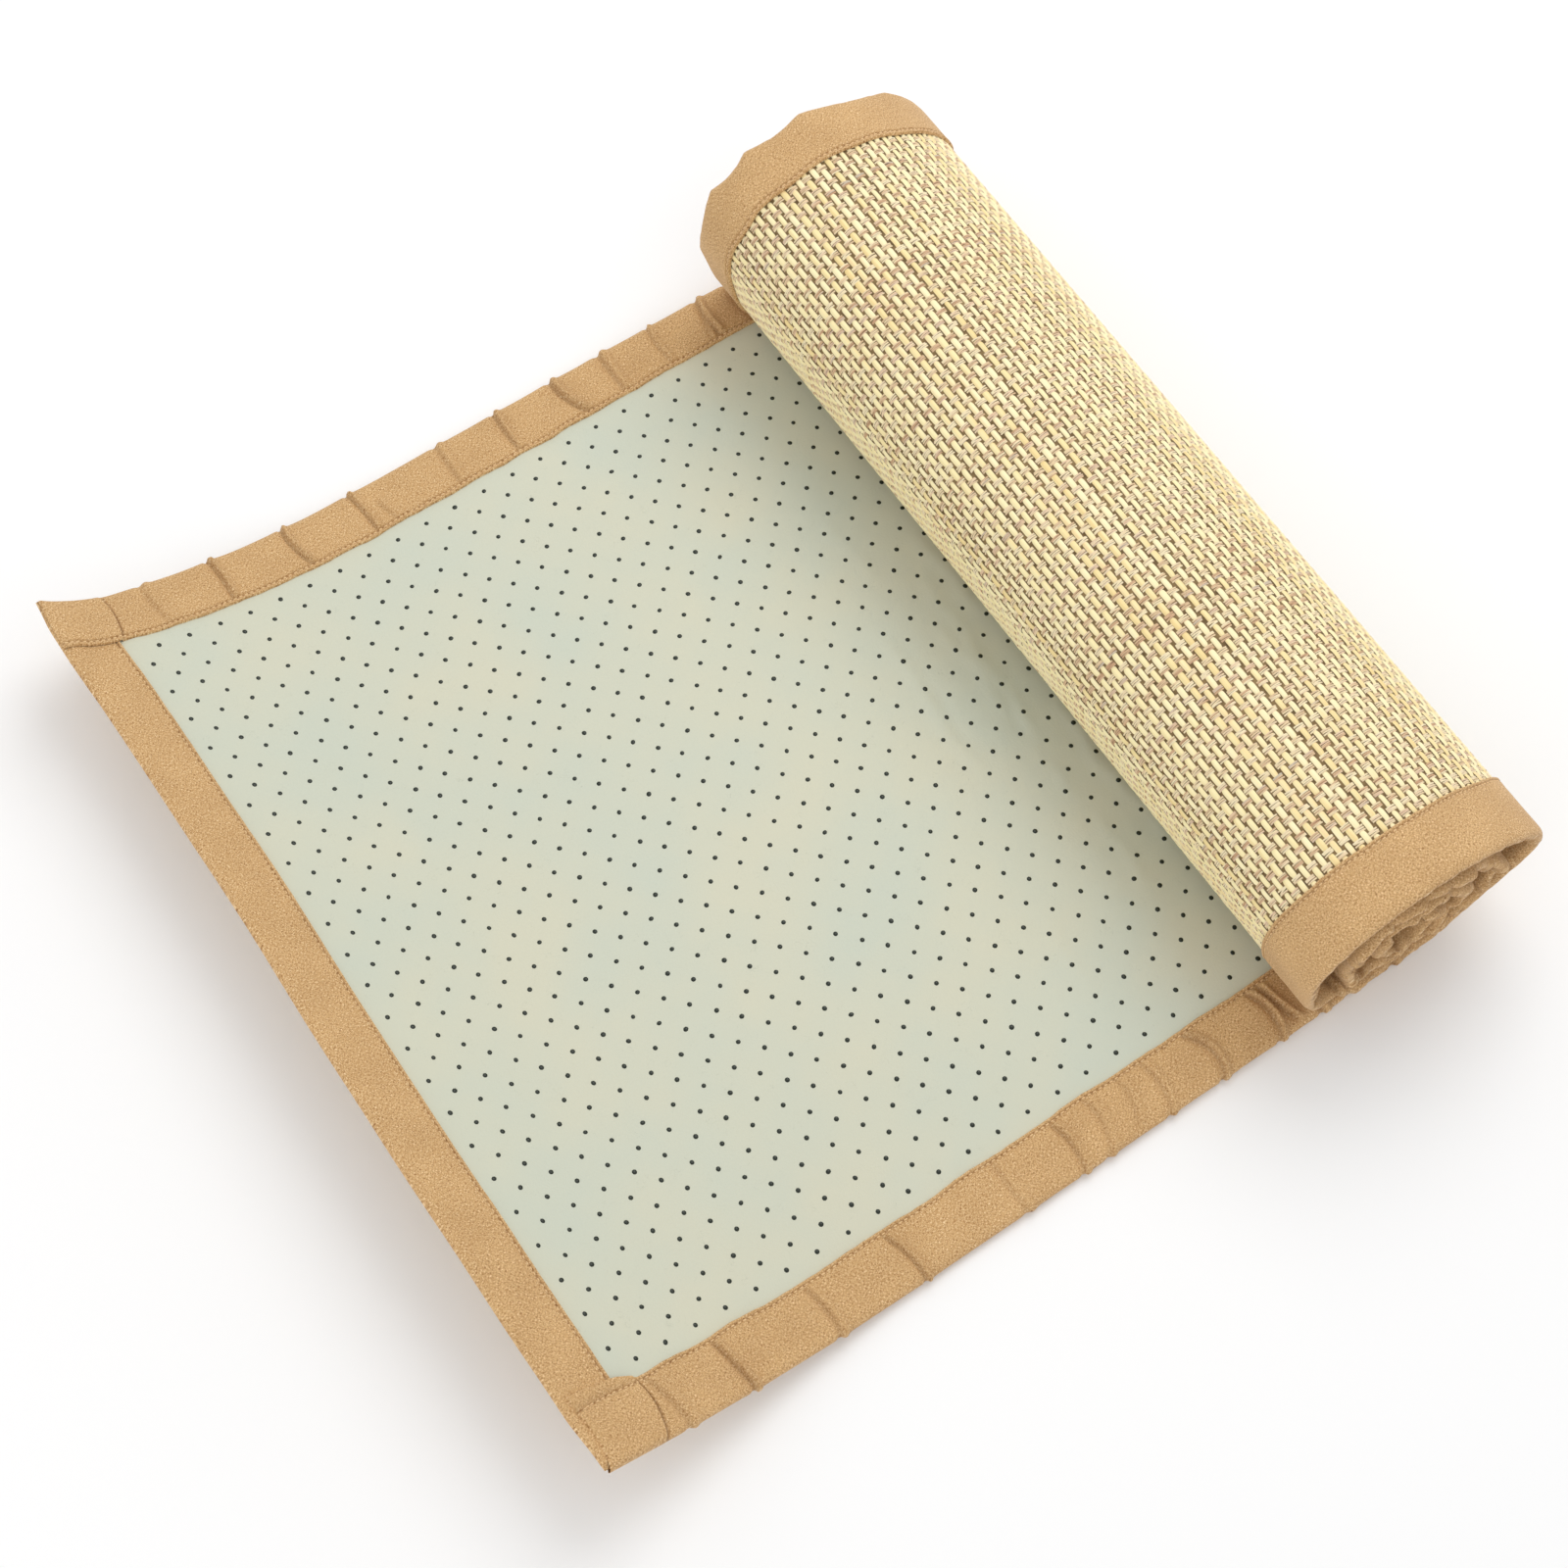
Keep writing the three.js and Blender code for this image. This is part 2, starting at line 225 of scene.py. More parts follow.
# %% Camera
# Its place is in the curve's own millimetres, before the shift that centres the frame
CAMERA_PLACE = (-423.53, -401.66, 1123.11)
CAMERA_RIGHT = Vector((0.82663, -0.56245, 0.01812))
CAMERA_UP = Vector((0.50951, 0.76171, 0.40026))
CAMERA_LENS = 63.44
SENSOR = 36

camera_data = bpy.data.cameras.new("camera")
camera_data.sensor_fit = "HORIZONTAL"
camera_data.sensor_width = SENSOR
camera_data.lens = CAMERA_LENS
camera_data.clip_start = 0.01
camera = bpy.data.objects.new("camera", camera_data)
bpy.context.scene.collection.objects.link(camera)
turned = Matrix((CAMERA_RIGHT, CAMERA_UP, CAMERA_RIGHT.cross(CAMERA_UP))).transposed().to_4x4()
camera_stand = (Vector(CAMERA_PLACE) + Vector(FRAME_SHIFT)) * MM
camera.matrix_world = Matrix.Translation(camera_stand) @ turned
bpy.context.scene.camera = camera
print("camera at", [round(v, 3) for v in camera_stand])


# %% [markdown]
# ## Materials
# Each finish here is a small net of nodes. Noise gives every place a share, a colour ramp turns the share
# into a colour, and a bump node turns another noise into fine relief. The finishes could also be painted
# as pictures, but nodes stay sharp from close by and need no files. A few helpers keep each net short.

# %% Helpers for materials
def new_material(name):
    material = bpy.data.materials.new(name)
    material.use_nodes = True
    tree = material.node_tree
    tree.nodes.clear()
    output = tree.nodes.new("ShaderNodeOutputMaterial")
    shader = tree.nodes.new("ShaderNodeBsdfPrincipled")
    tree.links.new(shader.outputs["BSDF"], output.inputs["Surface"])
    return material, tree, shader


def add_node(tree, kind, links=None, values=None, **settings):
    node = tree.nodes.new("ShaderNode" + kind)
    for key, value in settings.items():
        setattr(node, key, value)
    for key, value in (values or {}).items():
        node.inputs[key].default_value = value
    for key, source in (links or {}).items():
        tree.links.new(source, node.inputs[key])
    return node


def linear(red, green, blue):
    """A colour given by its red, green and blue from 0 to 255, made ready for a shader."""
    shares = np.array([red, green, blue]) / 255
    return (*np.where(shares < 0.04045, shares / 12.92, ((shares + 0.055) / 1.055) ** 2.4).tolist(), 1)


def ramp(tree, factor, stops):
    node = add_node(tree, "ValToRGB", {"Fac": factor})
    elements = node.color_ramp.elements
    while len(elements) < len(stops):
        elements.new(0.5)
    for element, (position, color) in zip(elements, stops):
        element.position = position
        element.color = color
    return node.outputs["Color"]


def flat_places(tree, along, across):
    """Flat places on the cloth, times a scale along and across it."""
    uv = add_node(tree, "UVMap", uv_map="flat")
    scaled = add_node(tree, "Mapping", {"Vector": uv.outputs["UV"]}, {"Scale": (along, across, 1)})
    return scaled.outputs["Vector"]


# %% Floor
FLOOR_HALF_SIDE = 6
FLOOR_BELOW = 0.0004

floor_material, tree, shader = new_material("pale floor")
shader.inputs["Base Color"].default_value = (0.96, 0.96, 0.96, 1)
shader.inputs["Roughness"].default_value = 0.9
bm = bmesh.new()
bmesh.ops.create_grid(bm, x_segments=1, y_segments=1, size=FLOOR_HALF_SIDE)
bmesh.ops.translate(bm, verts=bm.verts, vec=(0, 0, -FLOOR_BELOW))
floor_mesh = bpy.data.meshes.new("floor")
bm.to_mesh(floor_mesh)
bm.free()
floor_mesh.materials.append(floor_material)
floor = bpy.data.objects.new("floor", floor_mesh)
bpy.context.scene.collection.objects.link(floor)
print("floor is", floor.dimensions[:2], "m")

# %% Light
world = bpy.data.worlds.new("studio")
world.use_nodes = True
world.node_tree.nodes["Background"].inputs["Color"].default_value = (1, 1, 1, 1)
world.node_tree.nodes["Background"].inputs["Strength"].default_value = 0.76
bpy.context.scene.world = world
bpy.context.scene.view_settings.view_transform = "Standard"

# Each soft light: where it stands, its side in metres and its power in watts
LIGHTS = {
    "key": ((0.9, 0.5, 1.5), 1.2, 12.5),
    "fill": ((-1.5, -0.25, 0.45), 1.0, 4.5),
}
for name, (stand, side, power) in LIGHTS.items():
    light_data = bpy.data.lights.new(name, "AREA")
    light_data.size = side
    light_data.energy = power
    light = bpy.data.objects.new(name, light_data)
    light.location = stand
    light.rotation_euler = (-Vector(stand)).to_track_quat("-Z", "Y").to_euler()
    bpy.context.scene.collection.objects.link(light)
print("lights:", ", ".join(LIGHTS))


# %% [markdown]
# ## Sheets
# Each sheet starts as a flat grid. Its corners are then moved to where the cloth lies, and a map called
# flat keeps the flat place of every corner, so that a pattern follows the cloth round the roll.

# %% A grid laid on the curve
def cloth_grid(name, stations, rows, place_row, material, turned_over=False):
    """A sheet with a corner at each station along the mat and each row across it.
    place_row takes arrays of stations and row numbers and gives s, y, h and, for a tape, its shade."""
    bm = bmesh.new()
    bmesh.ops.create_grid(bm, x_segments=len(stations) - 1, y_segments=rows - 1, size=1)
    mesh = bpy.data.meshes.new(name)
    bm.to_mesh(mesh)
    bm.free()
    corners = np.empty(3 * len(mesh.vertices))
    mesh.vertices.foreach_get("co", corners)
    corners = corners.reshape(-1, 3)
    station = np.rint((corners[:, 0] + 1) / 2 * (len(stations) - 1)).astype(int)
    row = np.rint((corners[:, 1] + 1) / 2 * (rows - 1)).astype(int)
    s, y, h, *shade = place_row(np.asarray(stations)[station], row)
    finish_mesh(mesh, place(s, y, h), s, y, material)
    for values in shade:
        mesh.attributes.new("shade", "FLOAT", "POINT").data.foreach_set("value", values)
    if turned_over:
        mesh.flip_normals()
    return add_piece(mesh)


def finish_mesh(mesh, places, s, y, material):
    mesh.vertices.foreach_set("co", places.ravel())
    held = np.empty(len(mesh.loops), int)
    mesh.loops.foreach_get("vertex_index", held)
    flat = mesh.uv_layers.new(name="flat")
    flat.uv.foreach_set("vector", np.stack([s[held] * MM, y[held] * MM], axis=-1).ravel())
    mesh.polygons.foreach_set("use_smooth", np.ones(len(mesh.polygons), bool))
    mesh.materials.append(material)
    mesh.update()


def add_piece(mesh):
    piece = bpy.data.objects.new(mesh.name, mesh)
    bpy.context.scene.collection.objects.link(piece)
    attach(piece, "root")
    print(mesh.name, "has", sum(len(face.vertices) - 2 for face in mesh.polygons), "triangles")
    return piece


def steps(start, end, size):
    return np.linspace(start, end, max(2, int(round((end - start) / size)) + 1))


# %% Slow uneven waves, the same each run
WAVES_ADDED = 8


def waves(s, y, seed, size):
    """A smooth random value, mostly between -1 and 1, whose lumps are about size millimetres wide."""
    chance = np.random.default_rng(seed)
    total = 0
    for _ in range(WAVES_ADDED):
        heading = chance.uniform(0, 2 * np.pi)
        pitch = size * chance.uniform(0.7, 1.6)
        phase = chance.uniform(0, 2 * np.pi)
        total = total + np.sin(2 * np.pi * (s * np.cos(heading) + y * np.sin(heading)) / pitch + phase)
    return total / np.sqrt(WAVES_ADDED)


# %% [markdown]
# ## Felt backing and its grip dots
# The backing is a soft pale felt, a little greener in some places and yellower in others, with stray
# fibres on it. Near the roll it has fine creases along the roll. It is one fine grid with the creases
# in its corners, because they catch the light, and the fibres are only colour and bump.

# %% Felt material
felt_material, tree, shader = new_material("dotted felt")
cloudy = add_node(tree, "TexNoise", {"Vector": flat_places(tree, 14, 14)}, {"Scale": 1, "Detail": 3})
felt_color = ramp(
    tree, cloudy.outputs["Fac"], [(0.34, linear(203, 208, 192)), (0.66, linear(211, 210, 189))]
)
lint = add_node(
    tree, "TexNoise", {"Vector": flat_places(tree, 260, 260)}, {"Scale": 1, "Detail": 2, "Distortion": 1.2}
)
strands = add_node(tree, "Math", {0: lint.outputs["Fac"]}, {1: 0.5}, operation="SUBTRACT")
strands = add_node(tree, "Math", {0: strands.outputs[0]}, operation="ABSOLUTE")
strand_share = ramp(tree, strands.outputs[0], [(0.0, (1, 1, 1, 1)), (0.012, (0, 0, 0, 1))])
patches = add_node(tree, "TexNoise", {"Vector": flat_places(tree, 95, 95)}, {"Scale": 1, "Detail": 2})
patch_share = ramp(tree, patches.outputs["Fac"], [(0.56, (0, 0, 0, 1)), (0.68, (1, 1, 1, 1))])
lint_share = add_node(tree, "Math", {0: strand_share, 1: patch_share}, operation="MULTIPLY")
lint_soft = add_node(tree, "Math", {0: lint_share.outputs[0]}, {1: 0.3}, operation="MULTIPLY")
felted = add_node(
    tree, "MixRGB", {"Fac": lint_soft.outputs[0], "Color1": felt_color}, {"Color2": linear(150, 156, 140)}
)
nap = add_node(tree, "TexNoise", {"Vector": flat_places(tree, 900, 900)}, {"Scale": 1, "Detail": 3})
napped = add_node(tree, "Bump", {"Height": nap.outputs["Fac"]}, {"Strength": 0.25, "Distance": 0.0003})
tree.links.new(felted.outputs["Color"], shader.inputs["Base Color"])
tree.links.new(napped.outputs["Normal"], shader.inputs["Normal"])
shader.inputs["Roughness"].default_value = 0.85
shader.inputs["Specular IOR Level"].default_value = 0.25
shader.inputs["Sheen Weight"].default_value = 0.15
print(felt_material.name, "is ready")

# %% The felt's creases
# Each crease runs across the mat: its two ends as (s, y), how high it stands and how wide it is
FELT_CREASES = [
    ((319, 24), (316, -56), 0.5, 3.0),
    ((323, -2), (320, -44), -0.4, 2.6),
    ((352, -2), (344, -84), 0.7, 3.4),
    ((344, 16), (345, -40), 0.5, 2.8),
    ((349, -24), (343, -76), -0.5, 2.6),
    ((367, -46), (363, -88), 0.6, 3.0),
    ((366, -80), (369, -126), 0.6, 3.4),
    ((348, -98), (346, -138), 0.4, 3.0),
    ((352, 40), (350, -10), 0.4, 3.0),
    ((299, -120), (297, -162), 0.3, 3.2),
    ((362, 60), (365, 10), 0.5, 3.6),
    ((330, 90), (334, 50), 0.3, 3.0),
]
print(len(FELT_CREASES), "creases in the felt")


def along_segment(s, y, start, end):
    """How far a place is to the side of a segment, and how far along it, from 0 to 1."""
    run = np.subtract(end, start)
    length = np.hypot(*run)
    t = ((s - start[0]) * run[0] + (y - start[1]) * run[1]) / length**2
    aside = ((s - start[0]) * run[1] - (y - start[1]) * run[0]) / length
    return aside, t


def felt_relief(s, y):
    loose = fade(s, FLAT_LENGTH, FLAT_LENGTH - 60)
    total = 0.18 * waves(s, y, 11, 70) * loose + 0.05 * waves(s, y, 12, 16)
    for start, end, height, width in FELT_CREASES:
        aside, t = along_segment(s, y, start, end)
        wander = aside + 1.2 * np.sin(9 * t + start[1])
        total = total + height * np.exp(-((wander / width) ** 2)) * smooth((0.62 - abs(t - 0.5)) / 0.3)
    return total


# %% Felt sheet
FELT_ROWS = 179


def felt_place(s, row):
    y = SHEET_EDGE * (2 * row / (FELT_ROWS - 1) - 1)
    return s, y, LAYER_HALF + felt_relief(s, y)


flat_end = FLAT_LENGTH + 40
in_roll = steps(flat_end, MAT_LENGTH - SHEET_START, 5)[1:]
felt_stations = np.concatenate([steps(SHEET_START, flat_end, 2.4), in_roll])
felt = cloth_grid("felt_sheet", felt_stations, FELT_ROWS, felt_place, felt_material)
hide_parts("felt_backing")

# %% [markdown]
# ## Grip dots
# The dots are drops of dark green rubber, printed on the felt and a little uneven. A painted pattern would
# do from far away, but a drop has a height and a shine. So one low dome is modelled and copied to every
# other place of a close grid, where the dots stand like the dark fields of a chessboard.

# %% Grip dots
# The grid's pitch across and along the mat, where its row 0 lies, and the columns and rows that fit
DOT_ACROSS = 8.287
DOT_ALONG = 7.704
DOT_ROW_0 = 173.24
DOT_COLUMNS = range(-23, 24)
DOT_ROWS = range(-19, 130)
DOT_RADIUS = 1.25
DOT_HEIGHT = 0.28

dot_material, tree, shader = new_material("grip dot")
shader.inputs["Base Color"].default_value = linear(24, 34, 22)
shader.inputs["Roughness"].default_value = 0.38


def repeated(name, motif, places, material, turned_over=False):
    """Copies a small mesh to many flat places and bends the copies with the cloth. Each place is a row of
    s, y, turn, length, width, h and a scale for the heights, which is below 0 on the weave side."""
    motif.verts.index_update()
    corners = np.array([v.co for v in motif.verts])
    faces = [[v.index for v in face.verts] for face in motif.faces]
    places = np.asarray(places)
    turn = places[:, 2, None]
    long = corners[None, :, 1] * places[:, 3, None]
    wide = corners[None, :, 0] * places[:, 4, None]
    s = (places[:, 0, None] + wide * np.cos(turn) - long * np.sin(turn)).ravel()
    y = (places[:, 1, None] + wide * np.sin(turn) + long * np.cos(turn)).ravel()
    h = (places[:, 5, None] + corners[None, :, 2] * places[:, 6, None]).ravel()
    loops = np.concatenate([np.array(face) for face in faces])
    sizes = np.array([len(face) for face in faces])
    count = len(places)
    mesh = bpy.data.meshes.new(name)
    mesh.vertices.add(len(s))
    mesh.loops.add(len(loops) * count)
    mesh.polygons.add(len(faces) * count)
    held = loops[None, :] + len(corners) * np.arange(count)[:, None]
    mesh.loops.foreach_set("vertex_index", held.ravel().astype(np.int32))
    starts = np.concatenate([[0], np.cumsum(np.tile(sizes, count))[:-1]])
    mesh.polygons.foreach_set("loop_start", starts.astype(np.int32))
    mesh.update(calc_edges=True)
    finish_mesh(mesh, place(s, y, h), s, y, material)
    if turned_over:
        mesh.flip_normals()
    return add_piece(mesh)


dot = bmesh.new()
bmesh.ops.create_circle(dot, cap_ends=True, cap_tris=False, segments=8, radius=1)
bmesh.ops.inset_region(dot, faces=dot.faces[:], use_boundary=True, thickness=0.38, depth=0)
for v in dot.verts:
    v.co.z = 1.0 if v.co.xy.length < 0.8 else -0.4
dot.verts.index_update()
chance = np.random.default_rng(3)
dots = []
for across in DOT_COLUMNS:
    for along in DOT_ROWS:
        s, y = DOT_ROW_0 + DOT_ALONG * along, DOT_ACROSS * across
        if (across + along) % 2 == 0 and END_TAPE - 1 < s < MAT_LENGTH - END_TAPE:
            s, y = s + chance.normal(0, 0.12), y + chance.normal(0, 0.12)
            turn = chance.uniform(0, 6)
            radii = chance.normal(DOT_RADIUS, 0.06, 2)
            dots.append((s, y, turn, *radii, LAYER_HALF + felt_relief(s, y), DOT_HEIGHT))
grip_dots = repeated("grip_dots", dot, dots, dot_material)
dot.free()

# %% [markdown]
# ## The straw weave
# Bamboo sticks lie across the mat, and bundles of three fine threads cross them, over one stick and under
# the next. From a step away every stick shows as a short raised bar and every crossing as a small arch,
# so both are real shapes: one stick and one thread are modelled, and copied to every crossing on the roll
# and underneath. A ground sheet under them closes the gaps and fills the roll's inside; its brown is
# painted shade, the dark between the sticks.

# %% [markdown]
# ## Finish of the weave
# Split bamboo is smooth, streaked along its length and a little different from stick to stick. The threads
# are duller, twisted and of several tans. A picture of a weave could be wrapped round the roll, but it would
# repeat and blur. Here the streaks are noise that is drawn out along a stick or a thread, and a chance value
# for each row and each thread sets its tone. The ground's brown is painted shade, the shadow that shows
# between them.

# %% One chance value for each row or thread
# From one stick to the next along the mat, from one bundle of threads to the next across it, and from one
# thread of a bundle to the next
ROW_PITCH = 4.0
COLUMN_PITCH = 4.1
THREAD_PITCH = 1.3


def row_chance(tree, per_metre, seed):
    """One chance value for each row of sticks, or for each thread."""
    places = flat_places(tree, per_metre[0], per_metre[1])
    parts = add_node(tree, "SeparateXYZ", {"Vector": places})
    floors = []
    for part in (parts.outputs[0], parts.outputs[1]):
        raised = add_node(tree, "Math", {0: part}, {1: 0.5}, operation="ADD")
        floors.append(add_node(tree, "Math", {0: raised.outputs[0]}, operation="FLOOR").outputs[0])
    joined = add_node(tree, "CombineXYZ", {"X": floors[0], "Y": floors[1]}, {"Z": seed})
    by_chance = add_node(tree, "TexWhiteNoise", {"Vector": joined.outputs[0]}, noise_dimensions="3D")
    return by_chance.outputs["Value"]


# %% Material of the sticks
stick_material, tree, shader = new_material("bamboo stick")
by_row = row_chance(tree, (1000 / ROW_PITCH, 0.001), 1)
streaks = add_node(tree, "TexNoise", {"Vector": flat_places(tree, 420, 16)}, {"Scale": 1, "Detail": 2})
mixed = add_node(tree, "Math", {0: by_row, 1: streaks.outputs["Fac"]}, operation="ADD")
halved = add_node(tree, "Math", {0: mixed.outputs[0]}, {1: 0.5}, operation="MULTIPLY")
stick_color = ramp(
    tree,
    halved.outputs[0],
    [
        (0.2, linear(244, 218, 154)),
        (0.36, linear(252, 236, 182)),
        (0.6, linear(255, 242, 196)),
        (0.76, linear(250, 226, 168)),
        (0.86, linear(245, 214, 168)),
    ],
)
tree.links.new(stick_color, shader.inputs["Base Color"])
grain = add_node(tree, "TexNoise", {"Vector": flat_places(tree, 3200, 120)}, {"Scale": 1, "Detail": 1})
grained = add_node(tree, "Bump", {"Height": grain.outputs["Fac"]}, {"Strength": 0.2, "Distance": 0.0002})
tree.links.new(grained.outputs["Normal"], shader.inputs["Normal"])
shader.inputs["Roughness"].default_value = 0.45
shader.inputs["Specular IOR Level"].default_value = 0.4
print(stick_material.name, "is ready")

# %% Material of the threads
thread_material, tree, shader = new_material("crossing thread")
by_thread = row_chance(tree, (0.001, 1000 / THREAD_PITCH), 5)
run = add_node(tree, "TexNoise", {"Vector": flat_places(tree, 40, 900)}, {"Scale": 1, "Detail": 1})
mixed = add_node(tree, "Math", {0: by_thread, 1: run.outputs["Fac"]}, operation="ADD")
halved = add_node(tree, "Math", {0: mixed.outputs[0]}, {1: 0.5}, operation="MULTIPLY")
thread_color = ramp(
    tree,
    halved.outputs[0],
    [
        (0.22, linear(208, 168, 132)),
        (0.4, linear(240, 218, 178)),
        (0.58, linear(250, 236, 200)),
        (0.72, linear(232, 200, 168)),
        (0.82, linear(210, 198, 178)),
    ],
)
twist = add_node(
    tree,
    "TexWave",
    {"Vector": flat_places(tree, 1, 1)},
    {"Scale": 260, "Distortion": 1.5},
    bands_direction="DIAGONAL",
)
twisted = add_node(tree, "Bump", {"Height": twist.outputs["Fac"]}, {"Strength": 0.35, "Distance": 0.0002})
tree.links.new(thread_color, shader.inputs["Base Color"])
tree.links.new(twisted.outputs["Normal"], shader.inputs["Normal"])
shader.inputs["Roughness"].default_value = 0.75
print(thread_material.name, "is ready")

# %% Material of the ground under them, whose brown is painted shade
ground_painted_shade_material, tree, shader = new_material("weave ground painted shade")
ground_noise = add_node(tree, "TexNoise", {"Vector": flat_places(tree, 240, 240)}, {"Scale": 1, "Detail": 2})
# Painted shade: this brown stands for the shadow in the gaps between the sticks and threads
ground_painted_shade_color = ramp(
    tree, ground_noise.outputs["Fac"], [(0.3, linear(104, 82, 50)), (0.7, linear(154, 128, 86))]
)
# A wave texture repeats every pi / 10 over its scale, so this is one wave for every two rows of sticks
WEFT_SCALE = 39.3
weft = add_node(
    tree,
    "TexWave",
    {"Vector": flat_places(tree, 1, 1)},
    {"Scale": WEFT_SCALE, "Distortion": 0.2},
    bands_direction="X",
)
ridged = add_node(tree, "Bump", {"Height": weft.outputs["Fac"]}, {"Strength": 0.5, "Distance": 0.0008})
tree.links.new(ground_painted_shade_color, shader.inputs["Base Color"])
tree.links.new(ridged.outputs["Normal"], shader.inputs["Normal"])
shader.inputs["Roughness"].default_value = 0.8
print(ground_painted_shade_material.name, "is ready")

# %% Ground sheet of the weave
GROUND_ROWS = 61
GROUND_HEIGHT = -0.4


def ground_place(s, row):
    return s, SHEET_EDGE * (2 * row / (GROUND_ROWS - 1) - 1), GROUND_HEIGHT + 0 * s


ground_stations = steps(SHEET_START, MAT_LENGTH - SHEET_START, 4)
ground = cloth_grid(
    "woven_base", ground_stations, GROUND_ROWS, ground_place, ground_painted_shade_material, turned_over=True
)
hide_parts("woven_face")


# %% One stick and one thread
def stick_motif(long_steps, round_steps):
    """A bar that shows between two crossings: its ends dip under the threads."""
    bm = bmesh.new()
    bmesh.ops.create_grid(bm, x_segments=round_steps, y_segments=long_steps, size=1)
    for v in bm.verts:
        angle = v.co.x * np.pi / 2
        end = abs(v.co.y)
        v.co.x = np.sin(angle) * (1 - 0.12 * end**4)
        v.co.z = 0.62 * np.cos(angle) + 0.28 - 0.5 * end**4
    return bm


def thread_motif(long_steps, round_steps):
    """An arch over a stick, from the gap on one side of it to the gap on the other."""
    bm = bmesh.new()
    bmesh.ops.create_grid(bm, x_segments=long_steps, y_segments=round_steps, size=1)
    for v in bm.verts:
        angle = v.co.y * np.pi / 2
        reach = abs(v.co.x)
        v.co.y = np.sin(angle)
        v.co.z = 0.42 * np.cos(angle) + 0.6 * (1 - reach**2.4) - 0.1
    return bm


# %% Where they go
STICK_HALF_LENGTH = 3.15
STICK_HALF_WIDTH = 1.28
THREAD_HALF_LENGTH = 2.3
THREAD_HALF_WIDTH = 0.38
THREAD_APART = 0.43
COLUMNS_TO_SIDE = 48


def crossings(start, end, per_bundle, thread_half):
    """Flat places of the sticks that show and of the threads between them, with a little unevenness."""
    chance = np.random.default_rng(int(start))
    sticks, threads = [], []
    for row in range(int(np.ceil(start / ROW_PITCH)), int(end / ROW_PITCH)):
        shift, lean = chance.normal(0, 0.14), chance.normal(0, 0.0006)
        width = chance.normal(1, 0.07)
        for column in range(-COLUMNS_TO_SIDE, COLUMNS_TO_SIDE + 1):
            y = column * COLUMN_PITCH
            s = row * ROW_PITCH + shift + lean * y + 0.16 * np.sin(y / 37 + row * 0.31)
            y = y + 0.35 * np.sin(s / 61 + column * 0.2) + chance.normal(0, 0.1)
            if (row + column) % 2 == 0:
                turn = chance.normal(0, 0.012)
                half_length = STICK_HALF_LENGTH * chance.normal(1, 0.04)
                half_width = STICK_HALF_WIDTH * width * chance.normal(1, 0.04)
                lies = GROUND_HEIGHT + chance.normal(0, 0.04)
                sticks.append((s, y, turn, half_length, half_width, lies, -1))
            else:
                for k in range(per_bundle):
                    aside = (2 * k - per_bundle + 1) * THREAD_APART
                    thread_s = s + chance.normal(0, 0.1)
                    thread_y = y + aside + chance.normal(0, 0.05)
                    turn = chance.normal(0, 0.07)
                    lies = GROUND_HEIGHT + chance.normal(0, 0.05)
                    threads.append((thread_s, thread_y, turn, thread_half, THREAD_HALF_LENGTH, lies, -1))
    return sticks, threads


def weave(name, start, end, stick, thread, per_bundle, thread_half):
    sticks, threads = crossings(start, end, per_bundle, thread_half)
    made = [
        repeated(f"sticks_{name}", stick, sticks, stick_material, turned_over=True),
        repeated(f"threads_{name}", thread, threads, thread_material, turned_over=True),
    ]
    stick.free()
    thread.free()
    return made


ROLL_SHOWS = (FLAT_LENGTH - 12, length_at(1.06))
on_roll = weave("on_roll", *ROLL_SHOWS, stick_motif(4, 3), thread_motif(3, 2), 3, THREAD_HALF_WIDTH)
# Underneath, one wide thread stands for a bundle
bundle_half = 3 * THREAD_HALF_WIDTH
underneath = weave(
    "underneath", END_TAPE, ROLL_SHOWS[0], stick_motif(3, 2), thread_motif(3, 2), 1, bundle_half
)

# %% [markdown]
# ## Tan binding tape
# The edges are bound with a soft tan tape, folded round the edge and sewn through. On the long sides the
# tape is a little longer than the mat under it, so it gathers: a small fold stands up every few
# centimetres, and between two folds the cloth lies flat or puffs out. Each tape is one strip, shaped over
# a section of rows from its felt side, round the edge, to its weave side.

# %% [markdown]
# ## Finish of the tape
# The tape is a soft cloth of mixed tan yarns, grainy and without shine. Threads as real shapes would be too
# fine to see, so two noises, one drawn out along the tape and one across it, cross like its yarns, and a
# larger noise makes it cloudy. The creases, tucks and stitch grooves get painted shade from a value called
# shade, which every corner of the tape carries, because soft light alone leaves them too faint. The stitches
# are a paler plain thread.

# %% Tape material
tape_material, tree, shader = new_material("tan tape")
fleck_sizes = {"Scale": 1, "Detail": 2}
flecks = add_node(tree, "TexNoise", {"Vector": flat_places(tree, 3500, 1000)}, fleck_sizes)
cross_flecks = add_node(tree, "TexNoise", {"Vector": flat_places(tree, 1000, 3500)}, fleck_sizes)
both = add_node(tree, "Math", {0: flecks.outputs["Fac"], 1: cross_flecks.outputs["Fac"]}, operation="ADD")
halved = add_node(tree, "Math", {0: both.outputs[0]}, {1: 0.5}, operation="MULTIPLY")
heather = ramp(
    tree,
    halved.outputs[0],
    [
        (0.38, linear(146, 102, 60)),
        (0.46, linear(200, 157, 104)),
        (0.54, linear(216, 178, 126)),
        (0.64, linear(255, 228, 184)),
    ],
)
cloudy = add_node(tree, "TexNoise", {"Vector": flat_places(tree, 45, 45)}, {"Scale": 1, "Detail": 2})
cloud_shade = ramp(tree, cloudy.outputs["Fac"], [(0.3, (0.9, 0.88, 0.86, 1)), (0.7, (1, 1, 1, 1))])
shaded = add_node(
    tree, "MixRGB", {"Color1": heather, "Color2": cloud_shade}, {"Fac": 1.0}, blend_type="MULTIPLY"
)
